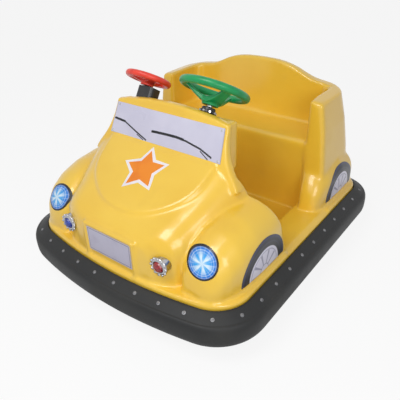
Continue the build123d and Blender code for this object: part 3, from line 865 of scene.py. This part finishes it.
# %% A spoke drawn out by extrusion
TILT = math.radians(32)
WHEEL_SQUARE = 0.0022


def on_column(obj, at):
    """Tilt a piece like the steering columns and move it to its place."""
    return placed(obj, Matrix.Translation(at) @ Matrix.Rotation(-TILT, 4, "X"))


def spoke(turn, steps):
    """A flat bar through stations of distance, height, width and thickness, turned about Z."""
    reach, height, width, thickness = steps[0]
    bar = added(
        bpy.ops.mesh.primitive_plane_add, size=1, location=(reach, 0, height), rotation=(0, QUARTER, 0))
    bar.scale = (thickness, width, 1)
    applied(bar)
    edit(bar, "FACE", "SELECT")
    for before, after in zip(steps, steps[1:]):
        extrude((after[0] - before[0], 0, after[1] - before[1]))
        bpy.ops.transform.resize(
            value=(1, after[2] / before[2], after[3] / before[3]), center_override=(after[0], 0, after[1]))
    clean(bar)
    bar.rotation_euler.z = math.radians(turn)
    return applied(bar)


def steering_wheel(name, body, finish, slot, at, rim, tube, hub, spokes):
    """A rim of one radius and tube radius, a turned hub and three spokes, grown together."""
    wheel = added(
        bpy.ops.mesh.primitive_torus_add,
        major_radius=rim, minor_radius=tube, major_segments=96, minor_segments=20)
    bars = [spoke(turn, spokes) for turn in (90, 210, 330)]
    wheel = joined(wheel, lathe("hub", hub, 48), *bars)
    wheel.data.remesh_voxel_size = WHEEL_SQUARE
    only(wheel)
    bpy.ops.object.voxel_remesh()
    modifier(wheel, "SMOOTH", factor=0.5, iterations=8)
    bpy.ops.object.shade_smooth()
    on_column(wheel, at)
    return settle(wheel, name, body, finish, slot, f"{body.split('_')[0]}_steering_wheel")


# %% Driver's and passenger's wheels
DRIVER = Vector((0.144, -0.118, 0.813))
PASSENGER = Vector((-0.199, -0.108, 0.796))
steering_wheel(
    "driver_wheel", "driver_steering", green_plastic, "green_plastic", DRIVER, rim=0.122, tube=0.0150,
    hub=((0, -0.030), (0.016, -0.029), (0.034, -0.031), (0.043, -0.036), (0.044, -0.042), (0.038, -0.049),
         (0.033, -0.055), (0.032, -0.0615), (0, -0.0615)),
    spokes=((0.020, -0.044, 0.066, 0.022), (0.045, -0.038, 0.052, 0.017), (0.075, -0.023, 0.040, 0.014),
            (0.100, -0.007, 0.036, 0.013), (0.122, -0.001, 0.040, 0.013)))
steering_wheel(
    "passenger_wheel", "passenger_steering", red_plastic, "red_plastic", PASSENGER, rim=0.084, tube=0.0130,
    hub=((0, -0.004), (0.014, -0.003), (0.028, -0.005), (0.033, -0.010), (0.033, -0.016), (0.027, -0.022),
         (0.027, -0.0295), (0, -0.0295)),
    spokes=((0.018, -0.013, 0.046, 0.015), (0.045, -0.008, 0.034, 0.013), (0.066, -0.003, 0.030, 0.012),
            (0.084, -0.001, 0.032, 0.012)))

# %% [markdown]
# ## Column collar with its screws
# Under the driver's hub sits a short black collar with a clamp ring and eight bright cap screws. All
# are turned on the lathe. The screws are one turned piece, copied in a circle.

# %% Collar, clamp ring and screws
COLLAR = ((0.0108, -0.069), (0.0235, -0.0685), (0.0262, -0.0715), (0.0268, -0.078), (0.0268, -0.1355),
          (0.0108, -0.1355))
RING = ((0.0262, -0.0790), (0.0300, -0.0795), (0.0315, -0.0815), (0.0315, -0.0885), (0.0300, -0.0905),
        (0.0262, -0.0910))
SCREW = ((0.0, 0.0036), (0.0020, 0.0036), (0.0022, 0.0020), (0.0040, 0.0020), (0.0046, 0.0014),
         (0.0046, -0.003))
SCREWS, SCREW_CIRCLE, SCREW_Z = 8, 0.0312, -0.085

collar = on_column(joined(lathe("collar", COLLAR, 40), lathe("ring", RING, 40)), DRIVER)
settle(smooth(collar), "driver_collar_sleeve", "root", black_plastic, "black_plastic", "driver_collar")
screw = lathe("screw", SCREW, 12)
fittings = []
for step in range(SCREWS):
    angle = step * 2 * math.pi / SCREWS
    way = Vector((math.cos(angle), math.sin(angle), 0))
    fittings.append(aim(twin(screw, "cap_screw"), way * SCREW_CIRCLE + Vector((0, 0, SCREW_Z)), way))
clamp_screws = on_column(joined(*fittings), DRIVER)
settle(smooth(clamp_screws), "driver_clamp_screws", "root", chrome, "chrome")

# %% [markdown]
# ## Signal lamps
# Each lamp is a pressed chrome bezel with a ring of petals round a faceted lens. The bezel and the
# lens are turned; the petals are one drop-shaped bead, made again and again in a circle. The lens
# keeps its flat facets, because that is what makes it sparkle.

# %% Bezels, petals and lenses
BEZEL = ((0.0215, -0.020), (0.0215, 0.004), (0.0235, 0.0065), (0.0262, 0.0070), (0.0290, 0.0055),
         (0.0335, 0.0040), (0.0362, 0.0020), (0.0368, -0.0010), (0.0360, -0.0050), (0.0330, -0.0060),
         (0.0330, -0.0320), (0.0215, -0.0320))
LENS = ((0.0214, -0.012), (0.0214, 0.0050), (0.0180, 0.0105), (0.0125, 0.0145), (0.0065, 0.0165),
        (0.0, 0.0172))
PETALS, PETAL_CIRCLE, PETAL_Z = 12, 0.0322, 0.0035
PETAL_SIZE = (0.0072, 0.0062, 0.0042)
FORWARD = (0, -1, 0)


def petal(angle):
    """A drop-shaped bead that leans out over the bezel's edge."""
    bead = added(bpy.ops.mesh.primitive_uv_sphere_add, segments=12, ring_count=8, radius=1)
    edit(bead)
    pick_faces(bead, lambda at, normal: at.x < -0.3)
    bpy.ops.transform.resize(value=(1, 0.45, 0.6), center_override=(-0.6, 0, 0))
    only(bead)
    bead.scale = PETAL_SIZE
    bead.location = (PETAL_CIRCLE * math.cos(angle), PETAL_CIRCLE * math.sin(angle), PETAL_Z)
    bead.rotation_euler.z = angle
    return applied(bead)


for side, name, glass, slot in ((1, "left", red_lens, "red_lens"), (-1, "right", blue_lens, "blue_lens")):
    at = Vector(on_side(side, LAMP_AT))
    petals = [petal(step * 2 * math.pi / PETALS) for step in range(PETALS)]
    bezel = aim(joined(lathe("bezel", BEZEL, 48), *petals), at, FORWARD)
    settle(smooth(bezel, 50), f"{name}_bezel", "root", chrome, "chrome", f"{name}_lamp_bezel")
    jewel = aim(lathe("jewel", LENS, 14), at, FORWARD)
    settle(jewel, f"{name}_lens", "root", glass, slot, f"{name}_lamp_lens")

# %% [markdown]
# ## Prints on the skin
# Headlights and wheels of such a car are printed on self-adhesive sheet. A disc of inset rings is held
# off the body and projected on to it along one direction, so it takes up every curve below it, then
# gets the thickness of the sheet. The picture on it is one of the finishes above.

# %% Laying a sheet on the body
STAND_OFF, SHEET_LIFT, SHEET_THICKNESS = 0.12, 0.0002, 0.0009


def lay(sheet_piece, at, facing, lift=SHEET_LIFT):
    """Project a flat piece on to the skin and give it a thickness."""
    start = Vector(at) + Vector(facing).normalized() * STAND_OFF
    sheet_piece.matrix_world = Matrix.Translation(start) @ facing_frame(facing).to_4x4()
    bpy.context.view_layer.update()
    modifier(sheet_piece, "SHRINKWRAP", target=skin, wrap_method="PROJECT", use_project_z=True,
             use_negative_direction=True, use_positive_direction=False, offset=lift)
    applied(sheet_piece)
    modifier(sheet_piece, "SOLIDIFY", thickness=SHEET_THICKNESS, offset=1.0)
    return smooth(sheet_piece, 60)


def disc(radius, rings):
    """A round sheet cut into rings by insetting."""
    made = added(bpy.ops.mesh.primitive_circle_add, vertices=72, radius=radius, fill_type="NGON")
    edit(made, "FACE", "SELECT")
    for _ in range(rings):
        bpy.ops.mesh.inset(thickness=radius / (rings + 1))
    only(made)
    return made


# %% Headlight and wheel sheets
HEADLIGHT_RINGS, WHEEL_PRINT_RINGS = 14, 24
BODY_SIDE = 0.5
CUT = 0.0005
light = lay(disc(HEADLIGHT_R, HEADLIGHT_RINGS), HEADLIGHT_AT, HEADLIGHT_WAY)
other_light = mirrored(light, "other_light")
for side, name, piece in ((1, "left", light), (-1, "right", other_light)):
    finish = headlight_finish(side)
    settle(piece, f"{name}_headlight_print", "root", finish, "headlight_print", f"{name}_headlight")

halves = []
for y in (WHEEL_PRINT_FRONT, WHEEL_PRINT_REAR):
    half_wheel = disc(WHEEL_PRINT_R, WHEEL_PRINT_RINGS)
    edit(half_wheel, "FACE", "SELECT")
    bpy.ops.mesh.bisect(plane_co=(0, CUT, 0), plane_no=(0, 1, 0), clear_inner=True)
    halves.append(lay(half_wheel, (BODY_SIDE, y, WHEEL_PRINT_Z), (1, 0, 0)))
prints = joined(*halves)
other_prints = mirrored(prints, "other_prints")
settle(prints, "left_wheel_sheet", "root", wheel_print, "wheel_print", "left_wheel_prints")
settle(other_prints, "right_wheel_sheet", "root", wheel_print, "wheel_print", "right_wheel_prints")

# %% [markdown]
# ## A sticker for the bonnet
# A plain five-pointed star in orange with a white edge brightens the bonnet. A circle of ten vertices
# becomes a star when every second one is pulled in. It is cut into small faces so that it can follow
# the bonnet, and laid on it like the other sheets, the orange one over the white one.

# %% Star sheets
STAR_AT = (-0.005, -0.385, 0.560)
STAR_WAY = (0, -0.55, 0.83)
STAR_TURN = math.radians(12)


def star(radius, waist):
    """A flat star, its inner corners at a share of the way out to its points."""
    made = added(bpy.ops.mesh.primitive_circle_add, vertices=10, radius=radius, fill_type="NGON")
    made.rotation_euler.z = STAR_TURN
    applied(made)
    edit(made, "VERT")
    mesh = bmesh.from_edit_mesh(made.data)
    for vertex in mesh.verts:
        vertex.select_set(vertex.index % 2 == 1)
    bmesh.update_edit_mesh(made.data)
    bpy.ops.transform.resize(value=(waist, waist, 1), center_override=(0, 0, 0))
    bpy.ops.mesh.select_mode(type="FACE")
    bpy.ops.mesh.select_all(action="SELECT")
    bpy.ops.mesh.poke()
    bpy.ops.mesh.subdivide(number_cuts=7)
    only(made)
    return made


star_edge = lay(star(0.106, 0.56), STAR_AT, STAR_WAY)
star_middle = lay(star(0.086, 0.52), STAR_AT, STAR_WAY, SHEET_LIFT + SHEET_THICKNESS)
settle(star_edge, "star_edge", "root", white_vinyl, "wheel_print")
settle(star_middle, "star_middle", "root", orange_vinyl, "wheel_print")

# %% [markdown]
# ## The windscreen sheet
# The windscreen is a pale printed sheet screwed to the cowl. Its two printed wipers are laid on as thin
# black strips: a line is drawn along the wiper, widened by one extrusion and thickened. The four screws
# in its corners are copies of the turned cap screw.

# %% Wipers and screws on the sheet
RISE = (SCREEN_HEAD - SCREEN_FOOT).normalized()
OUT = Vector((1, 0, 0)).cross(RISE)
ON_TOP, STRIP_THICKNESS = 0.0021, 0.0007
WIPERS = (
    (0.0062, ((-0.268, 0.057), (-0.206, 0.052), (-0.143, 0.027), (-0.080, 0.004))),
    (0.0050, ((-0.266, 0.061), (-0.235, 0.0585), (-0.206, 0.0555))),
    (0.0038, ((-0.134, 0.018), (-0.095, 0.003))),
    (0.0070, ((-0.062, 0.043), (0.000, 0.046), (0.062, 0.0475), (0.110, 0.0445), (0.182, 0.031),
              (0.237, 0.011))),
    (0.0058, ((-0.060, 0.047), (0.000, 0.050), (0.062, 0.0515), (0.100, 0.0485))),
    (0.0042, ((0.182, 0.025), (0.222, 0.003))),
)
SHEET_SCREWS = ((-0.266, 0.011), (0.266, 0.011), (-0.255, 0.119), (0.255, 0.119))


def on_sheet(x, rise):
    """A point just above the sheet, so far from its middle and so far up it."""
    return SCREEN_FOOT + Vector((x, 0, 0)) + RISE * rise + OUT * ON_TOP


strips = []
for width, line in WIPERS:
    strip = trace("strip", [on_sheet(*point) for point in line])
    extrude(RISE * width)
    modifier(strip, "SOLIDIFY", thickness=STRIP_THICKNESS, offset=0.0)
    clean(strip)
    strips.append(strip)
settle(joined(*strips), "printed_wipers", "root", black_vinyl, "black_plastic")

heads = [aim(twin(screw, "sheet_screw"), on_sheet(*place), OUT) for place in SHEET_SCREWS]
settle(smooth(joined(*heads)), "sheet_screws", "root", steel, "bright_steel")

# %% [markdown]
# ## Tyres
# The little solid tyres hide under the skirt, but they show from low down. One section with three
# ribs is drawn and spun about the axle, and all four wheels get copies.

# %% One tyre, four places
TREAD = ((0.0625, 0.027), (0.080, 0.028), (0.092, 0.0268), (0.0975, 0.023), (0.0990, 0.0185),
         (0.0990, 0.0110), (0.0955, 0.0100), (0.0955, 0.0065), (0.0995, 0.0055), (0.0998, 0.0))
FRONT_AXLE, REAR_AXLE, AXLE_Z, WHEEL_X = -0.335, 0.375, 0.1, 0.384
other_side = [(radius, -across) for radius, across in reversed(TREAD[:-1])]
tyre = lathe("tyre", [*TREAD, *other_side, TREAD[0]], 64)
for end, y in (("front", FRONT_AXLE), ("rear", REAR_AXLE)):
    for side, x in (("left", WHEEL_X), ("right", -WHEEL_X)):
        copy = aim(twin(tyre, "tyre_copy"), (x, y, AXLE_Z), (1, 0, 0))
        name = f"{end}_{side}"
        settle(smooth(copy), f"{name}_tread", f"{name}_wheel", tyre_rubber, "tyre", f"{name}_tyre")
only(tyre, screw)
bpy.ops.object.delete()

# %% [markdown]
# ## Finishes on the solids that stay
# Frame, running gear and the flat sheets have their right shape already, so they only get finishes.

# %% Paint the solids
WEARS = {
    painted: ("chassis_frame", "front_axle_beam", "steering_post", "battery_tray", "left_knuckle",
              "right_knuckle", "drop_arm", "tie_rod"),
    alloy: ("steering_box", "drive_unit", "front_left_rim", "front_right_rim", "rear_left_rim",
            "rear_right_rim"),
    steel: ("rear_axle", "driver_column"),
    black_plastic: ("batteries", "foot_pedal", "passenger_column", "passenger_collar"),
    sheet: ("windscreen",),
    plate: ("number_plate",),
}
for finish, names in WEARS.items():
    for name in names:
        nodes[name].data.materials.clear()
        nodes[name].data.materials.append(finish.material)
print("painted", sum(len(names) for names in WEARS.values()), "solids")

# %% [markdown]
# ## Floor, light and camera
# A pale floor and broad soft lights show the colours as they are written. What the camera, mirrors and
# glass see of the world is plain white, while the light that falls on the car from it is dimmer. The
# camera stands where the photograph was taken from: in front, to the car's left, 1.35 m up.

# %% Floor


def seen(tree):
    """1 for rays that show a thing to the camera, straight or by way of a mirror or glass."""
    path = tree.nodes.new("ShaderNodeLightPath")
    total = path.outputs["Is Camera Ray"]
    for other in ("Is Glossy Ray", "Is Transmission Ray"):
        adder = tree.nodes.new("ShaderNodeMath")
        adder.operation = "MAXIMUM"
        tree.links.new(total, adder.inputs[0])
        tree.links.new(path.outputs[other], adder.inputs[1])
        total = adder.outputs[0]
    return total


FLOOR_GLOW = 0.88
FLOOR_SIZE, FLOOR_Z = 60, -0.0005
floor_finish = Finish("pale_floor", Specular_IOR_Level=0.0, Roughness=1.0)
speck = floor_finish.noise(2.0, 2.0)
floor_finish.feed(Base_Color=floor_finish.mix(speck, srgb(236, 236, 236), srgb(240, 240, 240)))
shine = floor_finish.node("ShaderNodeEmission")
share = Wire(floor_finish, seen(floor_finish.tree)) * FLOOR_GLOW
plain = Wire(floor_finish, floor_finish.shader.outputs[0])
blend = floor_finish.node("ShaderNodeMixShader", None, share, plain, shine)
floor_finish.give(floor_finish.tree.nodes["Material Output"].inputs["Surface"], blend)
ground = added(bpy.ops.mesh.primitive_plane_add, size=FLOOR_SIZE, location=(0, 0, FLOOR_Z))
ground.name = "studio_floor"
ground.data.materials.append(floor_finish.material)
ground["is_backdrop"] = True

# %% World
DOME = 0.28
world = bpy.data.worlds.new("studio")
scene.world = world
world.use_nodes = True
background = world.node_tree.nodes["Background"]
background.inputs["Color"].default_value = (1, 1, 1, 1)
level = world.node_tree.nodes.new("ShaderNodeMapRange")
world.node_tree.links.new(seen(world.node_tree), level.inputs["Value"])
level.inputs["To Min"].default_value = DOME
level.inputs["To Max"].default_value = 1.0
world.node_tree.links.new(level.outputs[0], background.inputs["Strength"])

# %% Lamps


def soft_lamp(name, at, towards, size, power):
    """A rectangle of light at one point, turned towards another."""
    lamp = added(bpy.ops.object.light_add, type="AREA", location=at)
    lamp.name = name
    lamp.data.shape = "RECTANGLE"
    lamp.data.size, lamp.data.size_y = size
    lamp.data.energy = power
    lamp.rotation_mode = "QUATERNION"
    lamp.rotation_quaternion = (Vector(towards) - Vector(at)).to_track_quat("-Z", "Y")


soft_lamp("overhead", (0.2, -1.9, 2.7), (0, -0.4, 0.4), (1.3, 1.3), 40)
soft_lamp("front_fill", (2.4, -1.9, 1.7), (0, -0.2, 0.4), (1.3, 1.2), 26)

# %% Camera
CAMERA_AT = Vector((1.123718, -1.47859, 1.350843))
AZIMUTH, ELEVATION, ROLL = (math.radians(angle) for angle in (38.047, 31.165, -1.712))
SENSOR_MM = 36
FOCAL_PIXELS, PHOTO_PIXELS = 462.214, 400
level_share = math.cos(ELEVATION)
back = Vector((math.sin(AZIMUTH) * level_share, -math.cos(AZIMUTH) * level_share, math.sin(ELEVATION)))
right = Vector((math.cos(AZIMUTH), math.sin(AZIMUTH), 0))
up = back.cross(right)
turned_right = math.cos(ROLL) * right + math.sin(ROLL) * up
turned_up = math.cos(ROLL) * up - math.sin(ROLL) * right
turned = Matrix((turned_right, turned_up, back)).transposed()
camera = added(bpy.ops.object.camera_add)
camera.name = "photographer"
camera.matrix_world = Matrix.Translation(CAMERA_AT) @ turned.to_4x4()
camera.data.sensor_width = SENSOR_MM
camera.data.lens = SENSOR_MM * FOCAL_PIXELS / PHOTO_PIXELS
camera.data.clip_start = 0.05
scene.camera = camera
scene.view_settings.view_transform = "Standard"
print("camera", round(camera.data.lens, 1), "mm")

# %% Size of the dressed car
low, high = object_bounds()
print("dressed box", [round(v, 3) for v in high - low])
